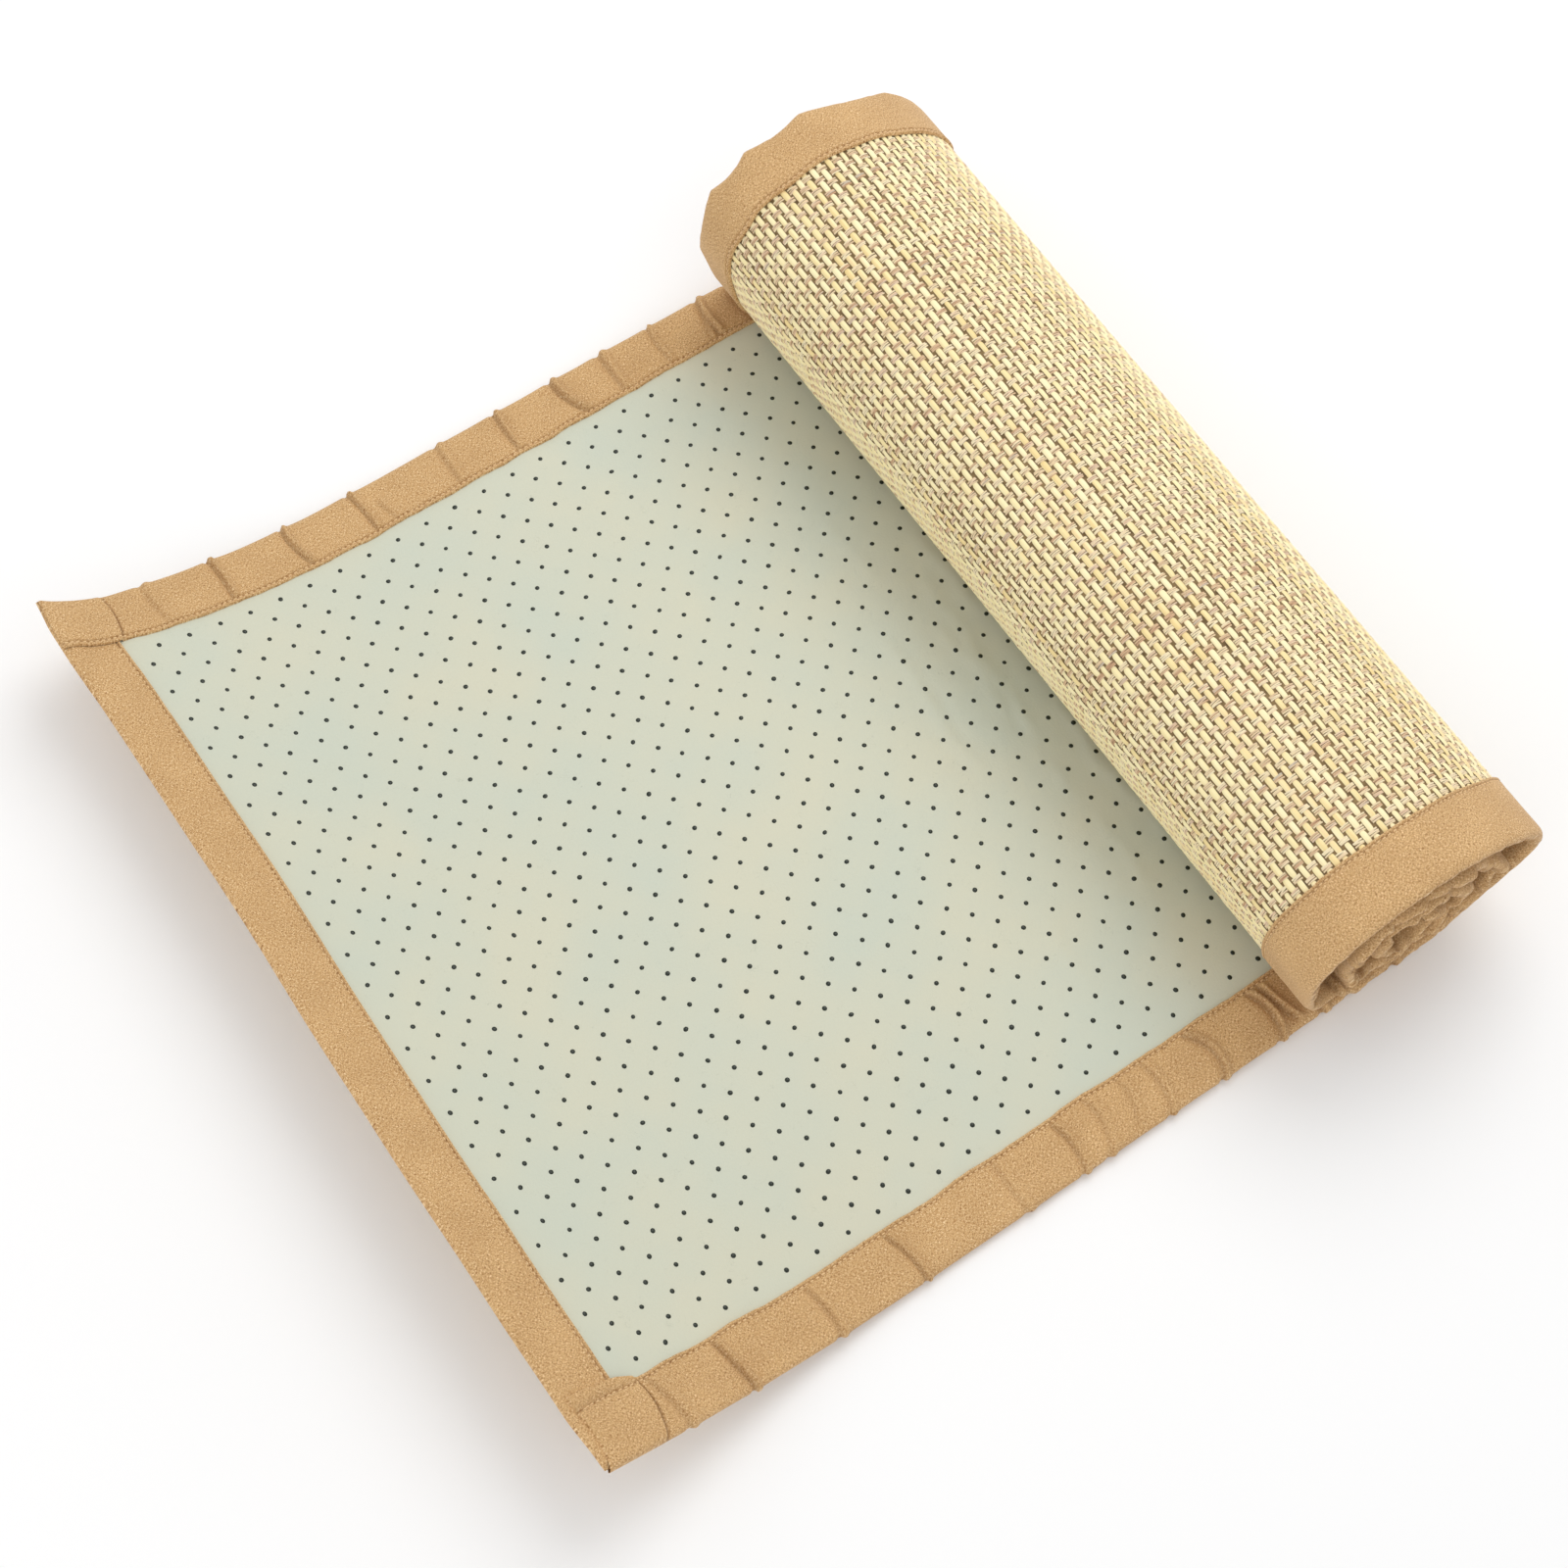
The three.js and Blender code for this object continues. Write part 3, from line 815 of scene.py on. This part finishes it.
# The shade attribute is painted shade: it darkens the gathers' feet, the tucks and the stitch grooves
tape_painted_shade = add_node(tree, "Attribute", attribute_name="shade")
shaded = add_node(
    tree,
    "MixRGB",
    {"Fac": tape_painted_shade.outputs["Fac"], "Color1": shaded.outputs["Color"]},
    {"Color2": linear(112, 72, 38)},
)
pores = add_node(tree, "TexNoise", {"Vector": flat_places(tree, 2200, 2200)}, {"Scale": 1, "Detail": 2})
pored = add_node(tree, "Bump", {"Height": pores.outputs["Fac"]}, {"Strength": 0.5, "Distance": 0.00025})
tree.links.new(shaded.outputs["Color"], shader.inputs["Base Color"])
tree.links.new(pored.outputs["Normal"], shader.inputs["Normal"])
shader.inputs["Roughness"].default_value = 0.8
shader.inputs["Specular IOR Level"].default_value = 0.25
shader.inputs["Sheen Weight"].default_value = 0.1
print(tape_material.name, "is ready")

# %% Stitch material
stitch_material, tree, shader = new_material("tan stitch")
shader.inputs["Base Color"].default_value = linear(238, 206, 156)
shader.inputs["Roughness"].default_value = 0.7
print(stitch_material.name, "is ready")

# %% The gathers of the two long sides
# Each stands across the tape: s at the seam, halfway and at the edge, its height and its width, and how
# much of the way from the seam it reaches
GATHERS = {
    "near": [
        (42, 46.8, 48.9, 0.6, 2.6, 1.0),
        (75.3, 78.4, 80.8, 1.2, 1.7, 1.0),
        (121.8, 125.3, 124.6, 0.8, 2.2, 1.0),
        (161.4, 166.2, 167.2, 0.9, 1.5, 1.0),
        (219.7, 219, 219.7, 0.5, 2.6, 1.0),
        (247.5, 251, 248.5, 0.9, 1.9, 1.0),
        (266, 268, 262, 0.6, 2.4, 1.0),
        (283, 284, 277, 0.5, 2.4, 0.8),
        (295, 298, 294, 0.7, 2.0, 1.0),
        (316, 325, 322, 1.3, 1.9, 1.0),
        (351, 356.5, 353, 1.5, 1.9, 1.0),
        (359, 361, 366, 1.2, 2.2, 0.8),
    ],
    "far": [
        (56.5, 53, 53.5, 0.5, 2.6, 1.0),
        (86.4, 87.3, 86.4, 1.1, 1.6, 1.0),
        (128.7, 124.2, 124.6, 1.1, 1.6, 1.0),
        (162, 161.4, 159.3, 1.0, 1.6, 1.0),
        (174, 170, 168, 0.5, 2.0, 0.5),
        (207.6, 207.4, 207.9, 0.6, 2.4, 1.0),
        (239.1, 238.2, 239.1, 1.0, 1.8, 1.0),
        (278, 271.5, 270.4, 1.2, 2.0, 1.0),
        (298, 297.5, 298, 0.9, 2.4, 1.0),
        (324.5, 323, 324.5, 0.7, 1.5, 1.0),
        (352.5, 351, 353, 1.2, 2.0, 1.0),
        (346, 349, 350, 0.5, 1.6, 0.4),
    ],
}
# From here on they are hidden by the roll, or in it
LISTED_UP_TO = 374.0


def gathers_of(side, seed):
    """Those of the flat stretch, and inside the roll more of them, closer and fuller."""
    chance = np.random.default_rng(seed)
    rows = list(GATHERS[side])
    s = LISTED_UP_TO
    while s < MAT_LENGTH - 40:
        middle = s + chance.normal(0, 2.2)
        edge = s + chance.normal(0, 1.5)
        height = chance.uniform(0.9, 1.9)
        rows.append((s, middle, edge, height, chance.uniform(2.0, 3.4), 1.0))
        s += chance.uniform(13, 24)
    return np.array(rows)


GATHER_ROWS = {"near": gathers_of("near", 21), "far": gathers_of("far", 22)}
print("gathers:", {side: len(rows) for side, rows in GATHER_ROWS.items()})


def gather_line(gather, t):
    """Where a gather stands at a share t of the way from the seam to the edge."""
    seam, middle, edge = gather[:3]
    return seam + t * (4 * middle - 3 * seam - edge) + t * t * (2 * seam + 2 * edge - 4 * middle)


def bump(aside, middle, width):
    """A rounded rise, 1 at its middle."""
    return np.exp(-(((aside - middle) / width) ** 2))


# The parts of a gather, from one side of it to the other: height, middle and width. Its relief is a
# ridge, a valley beside it and a wide swell under both, and it gets painted shade at both feet.
RELIEF = [(1.8, 0, 1), (-1.3, -1.7, 0.9), (0.25, 0, 5)]
FOOT_SHADE = [(0.32, -1.35, 0.7), (0.112, 1.4, 0.8)]


def gathered(side, s, t, parts, begins):
    """All gathers of a side added up, from where they begin near the seam to how far each reaches."""
    total = 0
    for gather in GATHER_ROWS[side]:
        height, width, reach = gather[3:]
        aside = (s - gather_line(gather, t)) / (0.75 * width)
        profile = sum(rise * bump(aside, middle, wide) for rise, middle, wide in parts)
        total = total + height * profile * fade(t, reach + 0.15, reach) * fade(t, begins, begins + 0.1)
    return total


def gather_relief(side, s, t):
    return gathered(side, s, t, RELIEF, 0.06)


def gather_shade(side, s, t):
    return gathered(side, s, t, FOOT_SHADE, 0.03)


# %% A tape's section
# Both hems are rolled, then comes the row of stitches in a groove, and then the tape's own face
TAPE_ROUND = 4.0
HEM_BASE = 1.15
STITCH_ROW = 1.9
WEAVE_WIDTH = 30
TOP_WIDTH = {"side": 27.5, "end": 25.3}
# Where the rows lie: those of a hem in from the sewn edge, and those of the face in from the mat's edge
HEM_STEPS = [0, 0.08, 0.25, 0.5, 0.75, 1.3, 1.6, 1.9, 2.2, 2.6, 3.3]
FACE_STEPS = [22, 20, 18, 15.5, 13, 10.5, 8.5, 7, 5.6, 4.4, 3.2, 2.2, 1.3, 0.6, 0.15]


def tape_section(kind):
    """The rows of a tape: how far in from the mat's edge, and 1 on the felt side or -1 on the weave side."""
    felt_side = [TOP_WIDTH[kind] - step for step in HEM_STEPS] + FACE_STEPS
    weave_side = FACE_STEPS[::-1] + [WEAVE_WIDTH - step for step in (5.2, *HEM_STEPS[::-1])]
    return np.array([(inset, 1) for inset in felt_side] + [(inset, -1) for inset in weave_side])


def hem(inward, base, top):
    """A tape's height by how far in from its sewn edge."""
    band = base + (top + 0.2 - base) * np.sqrt(np.clip(1 - (1 - np.minimum(inward, 0.5) / 0.5) ** 2, 0, 1))
    return band - bump(inward, STITCH_ROW, 0.45) - 0.2 * fade(inward, STITCH_ROW + 0.3, STITCH_ROW + 1.8)


def sewn_shade(inward):
    """Painted shade in the groove of the stitches, which makes it a little darker."""
    return 0.35 * bump(inward, STITCH_ROW, 0.5)


def rounded(inset):
    """The fold at the mat's edge, as a share of the full height."""
    return np.sqrt(np.clip(1 - (1 - np.minimum(inset, TAPE_ROUND) / TAPE_ROUND) ** 2, 0, 1))


# %% [markdown]
# ## The two long tapes
# Apart from its gathers, a long tape is turned over the end tape at the open end, where it makes a raised
# cap that ends in a tuck. Its rim ruffles inside the roll, and round the roll's far end it is drawn in
# between a few points. All this could be sculpted by hand. Here each is a small function of the flat
# place, so that it can be changed alone and stays sewn to the mat when the curve changes.

# %% Caps and rims
# The lines of a cap run from the seam to the edge: where it ends in a tuck, and where its open end starts.
# The lip is two lists: places along the mat, and how far past the seam the cap reaches there.
CAPS = {
    "near": {
        "tuck": (36.1, 37.8, 34.3),
        "start": (5.1, 6.8, 5.2),
        "lip": ([7, 29, 35, 38], [5.4, 3.6, 1.5, 0]),
    },
    "far": {
        "tuck": (28.2, 31.2, 29.8),
        "start": (0.6, 1.4, 3.0),
        "lip": ([0, 27, 28], [-1.2, -0.1, 0]),
    },
}
CAP_RAISED = 1.4
CAP_HEM_RAISED = 1.7
CAP_BLEND = 12
CAP_TUCK_DEPTH = 1.5
LEAST_HEIGHT = 1.75
TURNED_IN = 2.2
EDGE_OUT = {"near": 0.3, "far": -1.2}
# Inside the roll the rim flops up and down, and in and out
FLOP = 1.25
RUFFLE = 1.3
# Round the roll the far rim stands out at a few points, and is drawn in and lifted between them
FAR_POINTS = [430, 541, 592, 622, 645, 682, 722, 760]
FAR_DRAWN_IN = 2.4
FAR_LIFTED = 1.1


def scallops(s):
    """Nothing at each of the far rim's points, 1 midway between two."""
    after = np.clip(np.searchsorted(FAR_POINTS, s), 1, len(FAR_POINTS) - 1)
    points = np.array(FAR_POINTS)
    share = (s - points[after - 1]) / (points[after] - points[after - 1])
    return np.sin(np.pi * np.clip(share, 0, 1))


def in_roll_share(s):
    """0 on the flat part, 1 in the roll."""
    return fade(s, FLAT_LENGTH, FLAT_LENGTH + 40)


def inner_turn_share(s):
    """0 on the flat part and the outer turn, 1 on the turns inside it."""
    inner_start = length_at(0.8)
    return fade(s, inner_start, inner_start + 60)


# %% How high a side tape stands
def side_height(side, sign, s, inset, level, capped, tucked):
    """Its face with its gathers, and how its rim flops up and down inside the roll."""
    top = level > 0
    width = np.where(top, TOP_WIDTH["side"], WEAVE_WIDTH)
    t = 1 - inset / width
    in_roll, inner_turn = in_roll_share(s), inner_turn_share(s)
    relief = gather_relief(side, s, t) * (1 - capped)
    puff = 0.35 * waves(s, inset * sign, 31 + sign, 36) + 0.1 * waves(s, inset, 33, 9)
    puff = puff * fade(t, 0, 0.2)
    face = hem(width - inset, HEM_BASE + CAP_HEM_RAISED * capped, TAPE_HALF + CAP_RAISED * capped)
    bulge = np.where(top, relief + puff, 0.25 * (relief * inner_turn + puff) * in_roll)
    # It never sinks under the felt that it covers, and its open end is turned in
    over_felt = np.where(top & (width - inset > 0.4), LEAST_HEIGHT, 0)
    shaped = np.maximum(face + bulge - tucked, over_felt) * rounded(inset)
    turned_in = TURNED_IN * rounded(inset)
    shaped = turned_in + (shaped - turned_in) * fade(s, 0, 0.9)
    flop = FLOP * waves(s, 0 * s, 41 + sign, 22) * inner_turn * fade(inset, 16, 2)
    lifted = FAR_LIFTED * scallops(s) * (side == "far") * fade(inset, 12, 0)
    return level * shaped + flop + lifted


# %% How far in a side tape reaches
def side_reach(side, sign, s, inset, top, capped):
    """How far from the mat's even edge a row lies: its hem sways and its rim follows the gathers."""
    lip = np.interp(s, *CAPS[side]["lip"])
    at_hem, from_edge = fade(inset, 26.2, 26.7), np.clip((inset - 8) / 19, 0, 1)
    lip = lip * np.where(lip > 0, at_hem, from_edge) * top
    sway = 0.4 * waves(s, 0 * s, 81 + sign, 24) + 0.12 * waves(s, 0 * s, 85, 8)
    sway = sway * fade(inset, 18, 24)
    in_roll, inner_turn = in_roll_share(s), inner_turn_share(s)
    rim = np.clip(gather_relief(side, s, np.ones_like(s)), -0.6, 1.4)
    rim = rim * (1 - capped) * (1 - 0.85 * in_roll * (1 - inner_turn))
    out = EDGE_OUT[side] + 0.8 * rim + RUFFLE * waves(s, 0 * s, 51 + sign, 26) * inner_turn
    drawn_in = (in_roll + FAR_DRAWN_IN * scallops(s)) * (1 - inner_turn) * (side == "far")
    return inset + lip - sway - (out - drawn_in) * fade(inset, 12, 0)


# %% Where a side tape's rows lie
def side_place(side, sign):
    section = tape_section("side")
    cap = CAPS[side]

    def laid(s, row):
        inset, level = section[row].T
        top = level > 0
        width = np.where(top, TOP_WIDTH["side"], WEAVE_WIDTH)
        t = 1 - inset / width
        tuck = gather_line(cap["tuck"], t)
        capped = fade(s, tuck, tuck - 0.8)
        tucked = CAP_TUCK_DEPTH * bump(s, tuck, 0.6) * fade(t, 0, 0.12) * top
        h = side_height(side, sign, s, inset, level, capped, tucked)
        y = sign * (MAT_WIDTH / 2 - side_reach(side, sign, s, inset, top, capped))
        folds = gather_shade(side, s, t) * (1 - capped) * np.where(top, 1, 0.3 * inner_turn_share(s))
        # Painted shade at the feet of the gathers, in the tucks and in the stitch groove
        shade = np.clip(folds + 0.5 * tucked + sewn_shade(width - inset), 0, 0.7)
        start = gather_line(cap["start"], t) + np.where(top, 0, 1.6 * fade(inset, 0, 3))
        s = np.where(s < CAP_BLEND, start + s * (CAP_BLEND - start) / CAP_BLEND, s)
        return s, y, h, shade

    return laid


# %% Both side tapes
def side_stations():
    """Closest together at the tuck and the gathers."""
    cap = [0, 0.25, 0.6, 1, *steps(2, 25, 1.6)]
    tuck = steps(25, 41, 0.45)[1:]
    flat = steps(41, 400, 0.85)[1:]
    rolled = steps(400, MAT_LENGTH, 1.6)[1:]
    return np.concatenate([cap, tuck, flat, rolled])


for side, sign in (("near", -1), ("far", 1)):
    rows = len(tape_section("side"))
    laid_on = side_place(side, sign)
    tape = cloth_grid(
        f"side_tape_{side}", side_stations(), rows, laid_on, tape_material, turned_over=sign < 0
    )
    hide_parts(f"side_binding_{side}")

# %% [markdown]
# ## The two end tapes
# The tapes of the short ends are sewn on first and end under the long ones. They lie flat, because they
# are as long as the mat is wide and don't gather. They use the same section and hem as the long tapes,
# laid across the mat.

# %% End tapes
END_START = 1.9
END_REACH = 223.8


def end_place(at_core):
    section = tape_section("end")

    def laid(y, row):
        inset, level = section[row].T
        top = level > 0
        width = np.where(top, TOP_WIDTH["end"], WEAVE_WIDTH)
        dome = 0.4 * np.sin(np.pi * np.clip(inset / width, 0, 1)) * top * fade(abs(y), 190, 178)
        puff = 0.16 * waves(y, inset, 61, 60) + 0.08 * waves(y, inset, 63, 12)
        closed = rounded(END_REACH - abs(y))
        h = level * (hem(width - inset, HEM_BASE, TAPE_HALF) + dome + puff) * rounded(inset) * closed
        near_corner = 2.0 * fade(-y, 196, 222)
        far_corner = 1.6 * fade(y, 207, 223) - 1.2 * fade(y, 165, 200)
        start = END_START + near_corner + far_corner
        s = start + inset + 0.22 * waves(y, 0 * y, 62, 50)
        return (MAT_LENGTH - inset if at_core else s), y, h, sewn_shade(width - inset)

    return laid


for name, at_core in (("open", False), ("core", True)):
    rows = len(tape_section("end"))
    stations = [-END_REACH, *steps(0.4 - END_REACH, END_REACH - 0.4, 2.4), END_REACH]
    tape = cloth_grid(
        f"end_tape_{name}", stations, rows, end_place(at_core), tape_material, turned_over=at_core
    )
    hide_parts(f"end_binding_{name}")

# %% [markdown]
# ## Stitches
# One row holds each hem, on the felt side and on the weave side. A stitch is a short thread that dives
# into the cloth at both ends, so half a tube with its ends bent down is all that shows of it.

# %% One stitch, copied along every hem
STITCH_PITCH = 2.8
STITCH_HALF = 1.02
STITCH_WIDE = 0.42
STITCH_HIGH = 0.6
# Where the rows start and end, along the side tapes and across the end tapes
SIDE_ROW_START = {"near": 8, "far": 2}
SIDE_ROW_END = MAT_LENGTH - 4
END_ROW = (-190, 194)


def stitch_motif():
    bm = bmesh.new()
    bmesh.ops.create_grid(bm, x_segments=3, y_segments=4, size=1)
    for v in bm.verts:
        round_it = np.cos(v.co.x * np.pi / 2)
        v.co.z = round_it * (1 - 0.35 * abs(v.co.y) ** 3) - 0.9 * v.co.y**4
    return bm


def stitch_rows(level):
    """Places of the stitches on one side of the mat, taken from the tapes' own shapes."""
    chance = np.random.default_rng(7 + level)
    places = []

    def sew(kind, laid, start, end, turn):
        section = tape_section(kind)
        width = TOP_WIDTH[kind] if level > 0 else WEAVE_WIDTH
        inward = width - section[:, 0]
        row = int(np.argmin(abs(inward - STITCH_ROW) + 100 * (section[:, 1] != level)))
        along = np.arange(start, end, STITCH_PITCH)
        along = along + chance.normal(0, 0.12, len(along))
        s, y, h, _ = laid(along, np.full(len(along), row))
        for place_s, place_y, place_h in zip(s, y, h):
            leaning = turn + chance.normal(0, 0.05)
            lies = place_h + 0.1 * level
            places.append((place_s, place_y, leaning, STITCH_HALF, STITCH_WIDE, lies, STITCH_HIGH * level))

    for side, sign in (("near", -1), ("far", 1)):
        sew("side", side_place(side, sign), SIDE_ROW_START[side], SIDE_ROW_END, -np.pi / 2)
    sew("end", end_place(False), *END_ROW, 0)
    sew("end", end_place(True), *END_ROW, 0)
    return places


for name, level in (("felt_side", 1), ("weave_side", -1)):
    motif = stitch_motif()
    repeated(
        f"stitches_{name}", motif, stitch_rows(level), stitch_material, turned_over=level < 0
    )
    motif.free()
